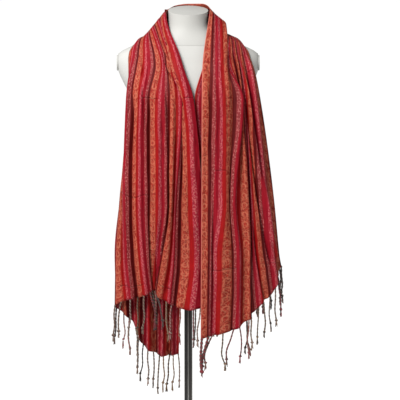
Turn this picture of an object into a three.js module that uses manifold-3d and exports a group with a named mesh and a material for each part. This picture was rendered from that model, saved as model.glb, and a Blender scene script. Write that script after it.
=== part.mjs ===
// A striped scarf, folded once lengthwise and laid over a limbless dress form on a pole stand.
// Millimetres. +Z is up, the scarf's fronts face -Y, and the origin is the middle of the base's underside.
import * as THREE from "three";
import { mergeVertices } from "three/addons/utils/BufferGeometryUtils.js";
import Module from "manifold-3d";

const wasm = await Module();
wasm.setup();

// Driving dimensions
const CLOTH_WIDTH = 700;
const CLOTH_WALL = 1.2;
const SEAM_GAP = 0.3;
const SHOULDER_SEAM = 0.9;
const HEM_GAP = 1.0;
const FRINGE_LENGTH = 104;
const FRINGE_PITCH = 25;
const STRAND_RADIUS = 1.6;
const STRAND_SWING = 2.2;
const STRAND_UNEVEN = 6;
const STRIP_HEIGHT = 3;
const NECK_TOP = 1492;
const NECK_MIDDLE = 1474;
const NECK_SLANT = THREE.MathUtils.degToRad(12.8);
const TORSO_BOTTOM = 720;
const TORSO_SEGMENTS = 32;
const TORSO_RING_STEP = 14;
const TORSO_SHOWN_FROM = 1300;
const ARM_PLANE = 196;
const ARM_PLATE = 5;
const ARM_PLATE_RADIUS = 30;
const ARM_HEIGHT = 1322;
const BASE_SIDE = 360;
const BASE_THICK = 8;
const BASE_CORNER = 24;
const POLE_WIDTH = 23;
const POLE_DEPTH = 30;
const POLE_SLOT = 5;
const POLE_SLOT_DEPTH = 2;
const FLANGE_RADIUS = 55;
const FLANGE_THICK = 10;
const CLOTH_CLEARANCE = 3.5;
const LAYER_ROOM = 5.5;
const NECK_HUG = 8;
const CLEAR_BELOW = 30;
const CLEAR_ROUNDS = 6;
const CLEAR_STEP = 12;

const materials = {
  cloth: new THREE.MeshStandardMaterial({ color: 0xb02a26, roughness: 0.75, metalness: 0 }),
  fringe: new THREE.MeshStandardMaterial({ color: 0x8a8070, roughness: 0.9, metalness: 0 }),
  form: new THREE.MeshStandardMaterial({ color: 0xe4e2dc, roughness: 0.35, metalness: 0 }),
  pole: new THREE.MeshStandardMaterial({ color: 0x2e2c2a, roughness: 0.35, metalness: 0.8 }),
};

// Level sections of the form: height, half width, and reach to the front and to the back.
const formSections = [
  { z: 1492, half: 57, front: 55, back: 57 },
  { z: 1475, half: 56, front: 54, back: 56 },
  { z: 1452, half: 55, front: 52, back: 57 },
  { z: 1432, half: 58, front: 51, back: 60 },
  { z: 1416, half: 72, front: 53, back: 64 },
  { z: 1402, half: 98, front: 57, back: 68 },
  { z: 1388, half: 130, front: 61, back: 72 },
  { z: 1372, half: 165, front: 65, back: 76 },
  { z: 1355, half: 195, front: 69, back: 80 },
  { z: 1335, half: 203, front: 74, back: 84 },
  { z: 1305, half: 196, front: 84, back: 88 },
  { z: 1270, half: 181, front: 97, back: 92 },
  { z: 1231, half: 160, front: 108, back: 94 },
  { z: 1195, half: 148, front: 111, back: 92 },
  { z: 1150, half: 136, front: 99, back: 86 },
  { z: 1080, half: 121, front: 86, back: 78 },
  { z: 1020, half: 117, front: 82, back: 76 },
  { z: 950, half: 132, front: 91, back: 88 },
  { z: 880, half: 153, front: 98, back: 102 },
  { z: 815, half: 163, front: 98, back: 106 },
  { z: 760, half: 160, front: 94, back: 100 },
  { z: 728, half: 150, front: 84, back: 90 },
  { z: 720, half: 140, front: 76, back: 82 },
];

// A table's rows as objects with the columns' names
function rowsOf(columns, rows) {
  return rows.map((row) => Object.fromEntries(columns.map((name, i) => [name, row[i]])));
}

// Where a line of the cloth, s mm from the selvedge at the neck, crosses each station of the -X side: over the
// shoulder (ridge x and z), then x at the collar, chest, waist and hip levels and at the hem, with the
// hem's height. The lift column says how far it lies behind the foremost layer at those five levels.
const lineColumns = ["s", "ridgeX", "ridgeZ", "collar", "chest", "waist", "hip", "hem", "hemZ", "lift"];
const leftLines = rowsOf(lineColumns, [
  [0, -59, 1464, -40, -12, 12, 12, 12, 650, [8, 8, 8, 8, 8]],
  [36, -61, 1477, -14, 16, 39, 41, 36, 652, [3, 3, 4, 4, 4]],
  [60, -67, 1470, -29, -7, 11, 15, 3, 647, [0, 0, 0, 0, 0]],
  [82, -73, 1463, -49, -18, -10, -11, -28, 654, [2, 2, 0, 0, 0]],
  [104, -79, 1455, -40, -14, -29, -35, -46, 662, [9, 8, 2, 1, 1]],
  [125, -85, 1449, -44, -24, -35, -42, -56, 667, [11, 8, 3, 2, 1]],
  [140, -89, 1443, -50, -35, -42, -53, -74, 677, [9, 6, 3, 1, 1]],
  [165, -95, 1436, -60, -54, -56, -76, -90, 694, [6, 4, 2, 5, 8]],
  [210, -105, 1424, -76, -90, -89, -90, -94, 701, [3, 2, 4, 17, 23]],
  [235, -110, 1418, -94, -110, -112, -105, -99, 699, [2, 2, 2, 3, 6]],
  [280, -119, 1408, -128, -137, -144, -136, -126, 685, [0, 1, 2, 0, 0]],
  [304, -124, 1402, -143, -157, -162, -156, -145, 679, [2, 3, 2, 0, 0]],
  [340, -131, 1393, -161, -168, -184, -183, -173, 671, [7, 10, 4, 1, 1]],
  [376, -131, 1389, -166, -163, -191, -203, -206, 652, [16, 19, 15, 8, 9]],
  [420, -121, 1394, -146, -142, -178, -190, -185, 634, [20, 23, 28, 27, 27]],
  [470, -109, 1404, -120, -114, -147, -158, -150, 594, [20, 22, 33, 34, 33]],
  [505, -102, 1412, -104, -98, -125, -137, -139, 556, [20, 21, 34, 37, 37]],
  [540, -95, 1420, -90, -82, -104, -114, -117, 530, [19, 20, 34, 40, 40]],
  [620, -80, 1436, -70, -52, -60, -66, -69, 509, [18, 19, 31, 38, 38]],
  [700, -67, 1450, -54, -20, -22, -22, -26, 516, [17, 18, 29, 33, 34]],
]);

// The same for the +X side, whose front lies over the other at the middle.
const rightLines = rowsOf(lineColumns, [
  [0, 61, 1476, 40, 38, 37, 36, 35, 566, [0, 0, 0, 0, 0]],
  [25, 71, 1469, 66, 64, 60, 58, 55, 572, [1, 1, 1, 2, 2]],
  [45, 80, 1461, 79, 83, 77, 66, 63, 574, [0, 0, 0, 7, 9]],
  [70, 94, 1450, 97, 105, 105, 94, 89, 580, [0, 0, 0, 0, 0]],
  [90, 105, 1438, 114, 127, 116, 124, 119, 588, [2, 0, 0, 0, 0]],
  [110, 101, 1412, 108, 146, 124, 136, 133, 593, [9, 1, 3, 2, 1]],
  [130, 105, 1410, 119, 150, 134, 148, 146, 600, [11, 6, 7, 3, 2]],
  [160, 110, 1408, 129, 152, 164, 163, 163, 606, [9, 11, 4, 5, 5]],
  [190, 114, 1406, 134, 150, 163, 155, 158, 614, [8, 12, 17, 18, 16]],
  [215, 117, 1405, 139, 155, 166, 161, 168, 622, [7, 10, 20, 20, 18]],
  [240, 121, 1404, 145, 161, 175, 174, 186, 636, [6, 8, 15, 13, 9]],
  [280, 126, 1402, 156, 173, 192, 200, 212, 664, [5, 6, 7, 5, 4]],
  [320, 130, 1400, 170, 187, 213, 228, 238, 690, [5, 5, 3, 2, 2]],
  [350, 133, 1398, 177, 196, 229, 246, 252, 730, [8, 7, 3, 2, 3]],
  [376, 134, 1395, 180, 201, 240, 257, 262, 760, [14, 14, 10, 10, 11]],
  [420, 130, 1392, 168, 190, 227, 241, 244, 754, [17, 24, 26, 26, 26]],
  [480, 122, 1393, 142, 162, 194, 206, 207, 736, [17, 27, 33, 34, 34]],
  [550, 108, 1401, 110, 122, 150, 161, 162, 716, [19, 28, 35, 37, 37]],
  [620, 88, 1417, 78, 72, 100, 111, 112, 692, [20, 27, 32, 34, 34]],
  [700, 67, 1442, 42, 18, 50, 66, 70, 672, [18, 26, 27, 28, 28]],
]);

// Levels that the fronts cross, with the reach of the foremost layer ahead of the form's middle.
const levels = [
  { name: "collar", z: 1325, reach: 97, spread: 205 },
  { name: "chest", z: 1231, reach: 131, spread: 225 },
  { name: "waist", z: 954, reach: 134, spread: 262 },
  { name: "hip", z: 787, reach: 136, spread: 280 },
  { name: "hem", z: 600, reach: 137, spread: 290 },
];
const RIGHT_EXTRA_REACH = 9;
const OUTLINE_POWER = 2.4;
const RIDGE_Y = 4;
// Where between nape and ridge the cloth stands at the shoulder blade: shares of the two
const BLADE_OUT = 0.64;
const BLADE_BACK = 0.76;
const BLADE_NAPE_SHARE = 0.52;
const BLADE_LIFT = 8;
const BLADE_LIFT_WIDTH = 60;

// Lengths along the cloth from the centre back to each station.
const ALONG = { blade: 105, ridge: 205, collar: 345, chest: 445, waist: 722, hip: 889 };
const LEFT_HEM = 1030;
const RIGHT_HEM = 1090;

// How the doubled cloth hangs at the nape: a line's height and reach behind the form's middle.
const napeLines = [
  { s: 0, reach: 66, z: 1492 },
  { s: 60, reach: 76, z: 1438 },
  { s: 120, reach: 90, z: 1380 },
  { s: 200, reach: 105, z: 1312 },
  { s: 280, reach: 116, z: 1245 },
  { s: 330, reach: 114, z: 1214 },
  { s: 370, reach: 104, z: 1232 },
  { s: 450, reach: 96, z: 1295 },
  { s: 540, reach: 86, z: 1356 },
  { s: 620, reach: 72, z: 1412 },
  { s: 700, reach: 62, z: 1462 },
];

// Soft folds over those lines: middle, half width and depth, and where each starts and ends along the cloth.
// A depth above 0 goes in between the two layers, and one below 0 stands out from them.
const leftFolds = [
  { s: 60, half: 14, depth: -3, from: 330, to: 1130 },
  { s: 104, half: 18, depth: -4, from: 400, to: 1130 },
  { s: 149, half: 20, depth: -7, from: 300, to: 1130 },
  { s: 204, half: 20, depth: 6, from: 500, to: 1130 },
  { s: 236, half: 20, depth: -7, from: 300, to: 1130 },
  { s: 264, half: 16, depth: 6, from: 360, to: 1130 },
  { s: 292, half: 18, depth: -7, from: 300, to: 1130 },
  { s: 322, half: 16, depth: 5, from: 420, to: 1130 },
  { s: 410, half: 20, depth: -6, from: 500, to: 1130 },
  { s: 452, half: 20, depth: 5, from: 520, to: 1130 },
  { s: 500, half: 24, depth: -5, from: 520, to: 1130 },
  { s: 540, half: 22, depth: 8, from: 560, to: 1130 },
  { s: 590, half: 24, depth: -8, from: 520, to: 1130 },
  { s: 640, half: 22, depth: 8, from: 600, to: 1130 },
];
const rightFolds = [
  { s: 14, half: 12, depth: 3, from: 380, to: 1190 },
  { s: 62, half: 16, depth: -4, from: 520, to: 1190 },
  { s: 88, half: 16, depth: 5, from: 420, to: 1190 },
  { s: 114, half: 16, depth: -6, from: 400, to: 1190 },
  { s: 167, half: 18, depth: -6, from: 360, to: 1190 },
  { s: 197, half: 16, depth: 5, from: 420, to: 1190 },
  { s: 226, half: 18, depth: -7, from: 340, to: 1190 },
  { s: 253, half: 16, depth: 6, from: 420, to: 1190 },
  { s: 282, half: 18, depth: -7, from: 300, to: 1190 },
  { s: 312, half: 16, depth: 6, from: 400, to: 1190 },
  { s: 340, half: 15, depth: -5, from: 360, to: 1190 },
  { s: 402, half: 18, depth: -6, from: 540, to: 1190 },
  { s: 446, half: 22, depth: 7, from: 560, to: 1190 },
  { s: 494, half: 22, depth: -8, from: 540, to: 1190 },
  { s: 545, half: 24, depth: 8, from: 560, to: 1190 },
  { s: 598, half: 24, depth: -8, from: 560, to: 1190 },
  { s: 650, half: 22, depth: 7, from: 580, to: 1190 },
];
// Cowl folds across the back, which run from shoulder to shoulder.
const backFolds = [
  { s: 46, half: 20, depth: -6 },
  { s: 94, half: 22, depth: 4 },
  { s: 146, half: 23, depth: -9 },
  { s: 198, half: 24, depth: 6 },
  { s: 250, half: 22, depth: -10 },
  { s: 296, half: 20, depth: 6 },
];

// A smooth curve through the given values that never swings past them.
function smoothThrough(places, values) {
  const last = places.length - 1;
  const slopes = places.slice(1).map((place, i) => (values[i + 1] - values[i]) / (place - places[i]));
  const tangents = places.map((place, i) => {
    if (i === 0) return slopes[0];
    if (i === last) return slopes[last - 1];
    const before = slopes[i - 1];
    const after = slopes[i];
    return before * after <= 0 ? 0 : (2 * before * after) / (before + after);
  });
  return (at) => {
    let i = 0;
    while (i < last - 1 && at > places[i + 1]) i += 1;
    const width = places[i + 1] - places[i];
    const t = (at - places[i]) / width;
    if (t > 1) return values[last] + tangents[last] * (at - places[last]);
    if (t < 0) return values[0] + tangents[0] * (at - places[0]);
    const start = values[i] * (1 + 2 * t) * (1 - t) ** 2 + tangents[i] * width * t * (1 - t) ** 2;
    return start + values[i + 1] * t * t * (3 - 2 * t) + tangents[i + 1] * width * t * t * (t - 1);
  };
}

const formHeights = formSections.map((row) => row.z).reverse();
const formColumn = (name) => smoothThrough(formHeights, formSections.map((row) => row[name]).reverse());
const formHalf = formColumn("half");
const formFront = formColumn("front");
const formBack = formColumn("back");

// How far a point lies outside the form, about, and the way straight out.
function formDistance(point) {
  const reachAt = (x, y, z) => {
    const level = THREE.MathUtils.clamp(z, TORSO_BOTTOM, NECK_TOP);
    const deep = (y < 0 ? formFront : formBack)(level);
    return Math.hypot(x / formHalf(level), y / deep);
  };
  const { x, y, z } = point;
  const slope = new THREE.Vector3(
    reachAt(x + 1, y, z) - reachAt(x - 1, y, z),
    reachAt(x, y + 1, z) - reachAt(x, y - 1, z),
    reachAt(x, y, z + 1) - reachAt(x, y, z - 1),
  ).divideScalar(2);
  const steepness = slope.length();
  return { distance: (reachAt(x, y, z) - 1) / steepness, out: slope.divideScalar(steepness) };
}

// Moves a point that lies too close to the form straight out until it clears it.
function clearOfForm(point, clearance) {
  if (point.z < TORSO_BOTTOM - CLEAR_BELOW) return point;
  for (let round = 0; round < CLEAR_ROUNDS; round += 1) {
    const { distance, out } = formDistance(point);
    if (distance >= clearance) return point;
    point.addScaledVector(out, Math.min(clearance - distance, CLEAR_STEP));
  }
  return point;
}

function linesOf(rows, extraReach, hemAlong) {
  const places = rows.map((row) => row.s);
  const column = (pick) => smoothThrough(places, rows.map(pick));
  const ridgeX = column((row) => row.ridgeX);
  const ridgeZ = column((row) => row.ridgeZ);
  const hemZ = column((row) => row.hemZ);
  const fronts = levels.map((level, i) => {
    const across = column((row) => row[level.name]);
    const lift = column((row) => row.lift[i]);
    return (s) => {
      const x = across(s);
      const fall = (1 - (Math.abs(x) / level.spread) ** OUTLINE_POWER) ** (1 / OUTLINE_POWER);
      const y = -(level.reach + extraReach) * fall + lift(s);
      return new THREE.Vector3(x, y, level.name === "hem" ? hemZ(s) : level.z);
    };
  });
  const ridge = (s) => new THREE.Vector3(ridgeX(s), RIDGE_Y, ridgeZ(s));
  const along = [ALONG.ridge, ALONG.collar, ALONG.chest, ALONG.waist, ALONG.hip, hemAlong];
  return { places, along, stations: [ridge, ...fronts] };
}

const bump = (distance) => (Math.abs(distance) >= 1 ? 0 : (1 - distance * distance) ** 2);
const ease = (t) => {
  const held = THREE.MathUtils.clamp(t, 0, 1);
  return held * held * (3 - 2 * held);
};

const left = linesOf(leftLines, 0, LEFT_HEM);
const right = linesOf(rightLines, RIGHT_EXTRA_REACH, RIGHT_HEM);

const napePlaces = napeLines.map((row) => row.s);
const napeReach = smoothThrough(napePlaces, napeLines.map((row) => row.reach));
const napeZ = smoothThrough(napePlaces, napeLines.map((row) => row.z));
const nape = (s) => new THREE.Vector3(0, napeReach(s), napeZ(s));

// Between nape and ridge the cloth rounds the neck and the shoulder blade.
function bladeOf(side) {
  const ridge = side.stations[0];
  return (s) => {
    const from = nape(s);
    const to = ridge(s);
    const lift = BLADE_LIFT * (1 - ease(s / BLADE_LIFT_WIDTH));
    const z = THREE.MathUtils.lerp(to.z, from.z, BLADE_NAPE_SHARE) + lift;
    return new THREE.Vector3(to.x * BLADE_OUT, from.y * BLADE_BACK, z);
  };
}

const trackAlong = [
  ...left.along.map((at) => -at).reverse(),
  -ALONG.blade,
  0,
  ALONG.blade,
  ...right.along,
];
const trackStations = [
  ...[...left.stations].reverse(),
  bladeOf(left),
  nape,
  bladeOf(right),
  ...right.stations,
];

// How far a line near the neck is drawn in along it, just below the ridge of the -X side
const HUG_AT = -262;
const HUG_REACH = 60;
const hugOf = (s, along) => NECK_HUG * (1 - ease((s - 50) / 80)) * bump((along - HUG_AT) / HUG_REACH);

// One lengthwise line of the cloth, from the hem of the -X side round the nape to the hem of the +X side.
const trackCache = new Map();
function track(s) {
  if (!trackCache.has(s)) {
    const points = trackStations.map((station) => station(s));
    const axes = ["x", "y", "z"].map((axis) => smoothThrough(trackAlong, points.map((point) => point[axis])));
    const [x, y, z] = axes;
    trackCache.set(s, (along) => new THREE.Vector3(x(along) - hugOf(s, along), y(along), z(along)));
  }
  return trackCache.get(s);
}

const FOLD_RUN = 90;
const BACK_FOLD_FADE = 160;

function foldDepth(s, along) {
  const across = (sum, fold, strength) => sum + fold.depth * strength * bump((s - fold.s) / fold.half);
  const runOf = (fold, at) => ease((at - fold.from) / FOLD_RUN) * ease((fold.to - at) / FOLD_RUN);
  const backShare = ease((ALONG.ridge - Math.abs(along)) / BACK_FOLD_FADE);
  const behind = backFolds.reduce((sum, fold) => across(sum, fold, backShare), 0);
  const folds = along < 0 ? leftFolds : rightFolds;
  return folds.reduce((sum, fold) => across(sum, fold, runOf(fold, Math.abs(along))), behind);
}

const STEP_S = 2;
const STEP_ALONG = 4;
function clothFrame(s, along) {
  const before = Math.max(s - STEP_S, 0);
  const after = Math.min(s + STEP_S, CLOTH_WIDTH);
  const across = track(after)(along).sub(track(before)(along));
  const down = track(s)(along + STEP_ALONG).sub(track(s)(along - STEP_ALONG));
  const normal = across.cross(down).normalize();
  return { point: track(s)(along), normal };
}

// A point of the cloth's middle surface, folds and clearance included. The outer layer stands further off the
// form, with room for the inner one under it.
function clothPoint(s, along) {
  const { point, normal } = clothFrame(s, along);
  point.addScaledVector(normal, foldDepth(s, along));
  const outer = ease(s / 40) * (1 - ease((s - 320) / 60));
  return clearOfForm(point, CLOTH_CLEARANCE + CLOTH_WALL / 2 + LAYER_ROOM * outer);
}

function clothNormal(s, along) {
  const before = Math.max(s - STEP_S, 0);
  const after = Math.min(s + STEP_S, CLOTH_WIDTH);
  const across = clothPoint(after, along).sub(clothPoint(before, along));
  const down = clothPoint(s, along + STEP_ALONG).sub(clothPoint(s, along - STEP_ALONG));
  return across.cross(down).normalize();
}

// Values from low to high, no further apart than the longest step.
function spread(stops, longest) {
  const out = [stops[0]];
  for (let i = 1; i < stops.length; i += 1) {
    const parts = Math.max(1, Math.round((stops[i] - stops[i - 1]) / longest));
    for (let k = 1; k <= parts; k += 1) out.push(stops[i - 1] + ((stops[i] - stops[i - 1]) * k) / parts);
  }
  return out;
}

// A closed sheet of the given wall, whose middle surface and normals come from two functions of its cells.
function sheetOf(columns, rows, middleOf, normalOf) {
  const geometry = new THREE.BoxGeometry(1, 1, 1, columns, rows, 1);
  geometry.deleteAttribute("normal");
  geometry.deleteAttribute("uv");
  const places = geometry.attributes.position;
  for (let i = 0; i < places.count; i += 1) {
    const column = Math.round((places.getX(i) + 0.5) * columns);
    const row = Math.round((places.getY(i) + 0.5) * rows);
    const point = middleOf(column, row);
    point.addScaledVector(normalOf(column, row), Math.sign(places.getZ(i)) * (CLOTH_WALL / 2));
    places.setXYZ(i, point.x, point.y, point.z);
  }
  return mergeVertices(geometry, 1e-4);
}

// The wall over the given lines and crossings of the cloth
function clothWall(lines, crossings) {
  const middle = (column, row) => clothPoint(lines[column], crossings[row]);
  const normal = (column, row) => clothNormal(lines[column], crossings[row]);
  return sheetOf(lines.length - 1, crossings.length - 1, middle, normal);
}

function solidOf(geometry) {
  const plain = geometry.clone();
  plain.deleteAttribute("normal");
  plain.deleteAttribute("uv");
  const merged = mergeVertices(plain, 1e-4);
  const vertProperties = new Float32Array(merged.attributes.position.array);
  const triVerts = new Uint32Array(merged.index.array);
  return new wasm.Manifold(new wasm.Mesh({ numProp: 3, vertProperties, triVerts }));
}

function geometryOf(solid) {
  const mesh = solid.getMesh();
  const geometry = new THREE.BufferGeometry();
  geometry.setAttribute("position", new THREE.BufferAttribute(mesh.vertProperties, 3));
  geometry.setIndex(new THREE.BufferAttribute(mesh.triVerts, 1));
  geometry.computeVertexNormals();
  return geometry;
}

function addMesh(group, name, geometry, material) {
  const mesh = new THREE.Mesh(geometry, material);
  mesh.name = name;
  group.add(mesh);
}

// The three stretches of the cloth
const SPLIT = ALONG.ridge + 20; // the shoulder seam's place along the cloth
const LINE_STEP = 15;
const BACK_LINE_STEP = 20;
const BACK_ROW_STEP = 21;
const ROW_STEP = 54;
const SHOULDER_ROW_STEP = 20;

function clothMeshes(group) {
  const backStops = [-SPLIT, -ALONG.ridge, -ALONG.blade, 0, ALONG.blade, ALONG.ridge, SPLIT];
  const backCrossings = spread(backStops, BACK_ROW_STEP);
  addMesh(group, "scarf_back", clothWall(spread(napePlaces, BACK_LINE_STEP), backCrossings), materials.cloth);
  const overShoulder = spread([SPLIT + SHOULDER_SEAM, ALONG.collar], SHOULDER_ROW_STEP);
  const downLeft = spread([ALONG.collar, LEFT_HEM], ROW_STEP).slice(1);
  const leftStops = [...overShoulder, ...downLeft].map((at) => -at).reverse();
  const leftWall = clothWall(spread(left.places, LINE_STEP), leftStops);
  addMesh(group, "scarf_left_front", leftWall, materials.cloth);
  const rightStops = [...overShoulder, ...spread([ALONG.collar, RIGHT_HEM], ROW_STEP).slice(1)];
  const rightWall = clothWall(spread(right.places, LINE_STEP), rightStops);
  addMesh(group, "scarf_right_front", rightWall, materials.cloth);
}

// A knotted end of twisted warp yarns, hanging from a point of the hem.
function strand(top, swing, length) {
  const middle = new THREE.Vector3(top.x + swing, top.y, top.z - length * 0.5);
  const low = new THREE.Vector3(top.x - swing * 0.4, top.y, top.z - length);
  const path = new THREE.CatmullRomCurve3([top, middle, low]);
  const section = new THREE.Shape();
  for (let corner = 0; corner < 3; corner += 1) {
    const turn = (corner * 2 * Math.PI) / 3;
    const method = corner === 0 ? "moveTo" : "lineTo";
    section[method](STRAND_RADIUS * Math.cos(turn), STRAND_RADIUS * Math.sin(turn));
  }
  section.closePath();
  return new THREE.ExtrudeGeometry(section, { steps: 2, extrudePath: path, bevelEnabled: false });
}

// A narrow strip just below the hem carries the strands' roots.
function fringeMesh(group, name, side, hem) {
  const lines = spread(side.places, LINE_STEP);
  const offsets = hem < 0 ? [HEM_GAP + STRIP_HEIGHT, HEM_GAP] : [HEM_GAP, HEM_GAP + STRIP_HEIGHT];
  const belowHem = (s, offset) => {
    const after = clothPoint(Math.min(s + STEP_S, CLOTH_WIDTH), hem);
    const edge = after.sub(clothPoint(Math.max(s - STEP_S, 0), hem)).normalize();
    const down = edge.cross(clothNormal(s, hem)).multiplyScalar(-Math.sign(hem));
    return clothPoint(s, hem).addScaledVector(down, offset);
  };
  const middle = (column, row) => belowHem(lines[column], offsets[row]);
  const normal = (column) => clothNormal(lines[column], hem);
  let whole = solidOf(sheetOf(lines.length - 1, 1, middle, normal));
  const count = Math.floor(CLOTH_WIDTH / FRINGE_PITCH);
  for (let i = 0; i <= count; i += 1) {
    const wanted = (CLOTH_WIDTH * i) / count;
    const s = lines.reduce((best, line) => (Math.abs(line - wanted) < Math.abs(best - wanted) ? line : best));
    const swing = STRAND_SWING * Math.sin(i * 2.4);
    const length = FRINGE_LENGTH - STRAND_UNEVEN * Math.cos(i * 1.7);
    whole = whole.add(solidOf(strand(belowHem(s, HEM_GAP + STRIP_HEIGHT * 0.8), swing, length)));
  }
  addMesh(group, name, geometryOf(whole), materials.fringe);
}

// The form, turned as a unit profile, stretched to its level sections and cut off at the neck and the arms
function torsoMesh(group) {
  const profile = [new THREE.Vector2(0, TORSO_BOTTOM)];
  const hidden = formHeights.filter((z) => z < TORSO_SHOWN_FROM);
  const shown = formHeights.filter((z) => z >= TORSO_SHOWN_FROM);
  [...hidden, ...spread(shown, TORSO_RING_STEP)].forEach((z) => profile.push(new THREE.Vector2(1, z)));
  profile.push(new THREE.Vector2(0, NECK_TOP));
  const geometry = new THREE.LatheGeometry(profile, TORSO_SEGMENTS);
  geometry.rotateX(Math.PI / 2);
  const places = geometry.attributes.position;
  for (let i = 0; i < places.count; i += 1) {
    const z = places.getZ(i);
    const deep = (places.getY(i) < 0 ? formFront : formBack)(z);
    places.setXYZ(i, places.getX(i) * formHalf(z), places.getY(i) * deep, z);
  }
  const neckDown = [0, Math.sin(NECK_SLANT), -Math.cos(NECK_SLANT)];
  const solid = solidOf(geometry)
    .trimByPlane(neckDown, -NECK_MIDDLE * Math.cos(NECK_SLANT))
    .trimByPlane([1, 0, 0], -ARM_PLANE)
    .trimByPlane([-1, 0, 0], -ARM_PLANE);
  addMesh(group, "form_torso", geometryOf(solid), materials.form);
}

// A shallow oval plate over each armhole
function armPlateMesh(group, name, sign) {
  const profile = [
    new THREE.Vector2(0, 0),
    new THREE.Vector2(1, 0),
    new THREE.Vector2(0.96, 0.6),
    new THREE.Vector2(0.7, 1),
    new THREE.Vector2(0, 1),
  ];
  const geometry = new THREE.LatheGeometry(profile, 28);
  geometry.scale(ARM_PLATE_RADIUS, ARM_PLATE, ARM_PLATE_RADIUS);
  geometry.rotateZ(-Math.PI / 2);
  geometry.rotateY(sign < 0 ? Math.PI : 0);
  geometry.translate(sign * (ARM_PLANE + SEAM_GAP), 0, ARM_HEIGHT);
  addMesh(group, name, geometryOf(solidOf(geometry)), materials.form);
}

function standMeshes(group) {
  const flange = new THREE.CylinderGeometry(FLANGE_RADIUS, FLANGE_RADIUS, FLANGE_THICK, 32);
  flange.rotateX(Math.PI / 2);
  const flangeZ = TORSO_BOTTOM - SEAM_GAP - FLANGE_THICK / 2;
  flange.translate(0, 0, flangeZ);
  addMesh(group, "form_flange", flange, materials.pole);

  const poleTop = flangeZ - FLANGE_THICK / 2 - SEAM_GAP;
  const poleFoot = BASE_THICK + SEAM_GAP;
  const halfWidth = POLE_WIDTH / 2;
  const halfDepth = POLE_DEPTH / 2;
  const outline = new THREE.Shape();
  outline.moveTo(-halfWidth, -halfDepth);
  outline.lineTo(-POLE_SLOT / 2, -halfDepth);
  outline.lineTo(-POLE_SLOT / 3, -halfDepth + POLE_SLOT_DEPTH);
  outline.lineTo(POLE_SLOT / 3, -halfDepth + POLE_SLOT_DEPTH);
  outline.lineTo(POLE_SLOT / 2, -halfDepth);
  outline.lineTo(halfWidth, -halfDepth);
  outline.lineTo(halfWidth, halfDepth);
  outline.lineTo(-halfWidth, halfDepth);
  outline.closePath();
  const pole = new THREE.ExtrudeGeometry(outline, { depth: poleTop - poleFoot, bevelEnabled: false });
  pole.translate(0, 0, poleFoot);
  addMesh(group, "stand_pole", pole, materials.pole);

  const side = BASE_SIDE / 2;
  const corner = BASE_CORNER;
  const plate = new THREE.Shape();
  plate.moveTo(-side + corner, -side);
  plate.lineTo(side - corner, -side);
  plate.absarc(side - corner, -side + corner, corner, -Math.PI / 2, 0, false);
  plate.lineTo(side, side - corner);
  plate.absarc(side - corner, side - corner, corner, 0, Math.PI / 2, false);
  plate.lineTo(-side + corner, side);
  plate.absarc(-side + corner, side - corner, corner, Math.PI / 2, Math.PI, false);
  plate.lineTo(-side, -side + corner);
  plate.absarc(-side + corner, -side + corner, corner, Math.PI, Math.PI * 1.5, false);
  const base = new THREE.ExtrudeGeometry(plate, { depth: BASE_THICK, bevelEnabled: false, curveSegments: 6 });
  addMesh(group, "stand_base", base, materials.pole);
}

const scarfOnForm = new THREE.Group();
clothMeshes(scarfOnForm);
fringeMesh(scarfOnForm, "fringe_left", left, -LEFT_HEM);
fringeMesh(scarfOnForm, "fringe_right", right, RIGHT_HEM);
torsoMesh(scarfOnForm);
armPlateMesh(scarfOnForm, "form_arm_plate_left", -1);
armPlateMesh(scarfOnForm, "form_arm_plate_right", 1);
standMeshes(scarfOnForm);

export default scarfOnForm;
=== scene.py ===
import math
import random

import bmesh
import bpy
import numpy as np
from mathutils import Matrix, Vector


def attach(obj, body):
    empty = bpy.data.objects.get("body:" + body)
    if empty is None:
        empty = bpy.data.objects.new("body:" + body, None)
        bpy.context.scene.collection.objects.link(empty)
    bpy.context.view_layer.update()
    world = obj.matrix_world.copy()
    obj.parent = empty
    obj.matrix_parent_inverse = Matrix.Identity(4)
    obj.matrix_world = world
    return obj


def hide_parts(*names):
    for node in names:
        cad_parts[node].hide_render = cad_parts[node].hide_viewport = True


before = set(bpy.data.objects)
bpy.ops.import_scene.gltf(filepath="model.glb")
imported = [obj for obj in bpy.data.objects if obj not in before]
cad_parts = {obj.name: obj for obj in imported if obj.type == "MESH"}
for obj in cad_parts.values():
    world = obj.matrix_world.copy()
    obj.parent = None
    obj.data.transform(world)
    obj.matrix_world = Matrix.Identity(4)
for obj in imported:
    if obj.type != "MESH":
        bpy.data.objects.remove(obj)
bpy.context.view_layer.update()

# A striped scarf, folded once lengthwise and laid over a limbless dress form on a pole stand.
# Places in the tables are millimetres in the frame's axes, and MM turns them to metres.
MM = 0.001

# Driving sizes of the cloth
CLOTH_WIDTH = 700
CLOTH_WALL = 0.8
CLOTH_CLEARANCE = 4.1
CLOTH_COLUMNS = 200
CLOTH_ROWS = 236
STRIPE_REPEAT = 70
FRINGE_LENGTH = 104
FRINGE_COUNT = 29
NECK_TOP = 1492
NECK_SLANT = math.radians(12.8)
NECK_MIDDLE = 1474
NECK_JOINT = 1378
TORSO_BOTTOM = 720

form_sections = {
    "z": [720, 728, 760, 815, 880, 950, 1020, 1080, 1150, 1195, 1231, 1270, 1305, 1335, 1355, 1372,
          1388, 1402, 1416, 1432, 1452, 1475, 1492],
    "half": [140, 150, 160, 163, 153, 132, 117, 121, 136, 148, 160, 181, 196, 203, 195, 165,
             130, 98, 72, 58, 55, 56, 57],
    "front": [76, 84, 94, 98, 98, 91, 82, 86, 99, 111, 108, 97, 84, 74, 69, 65,
              61, 57, 53, 51, 52, 54, 55],
    "back": [82, 90, 100, 106, 102, 88, 76, 78, 86, 92, 94, 92, 88, 84, 80, 76,
             72, 68, 64, 60, 57, 56, 57],
}

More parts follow.
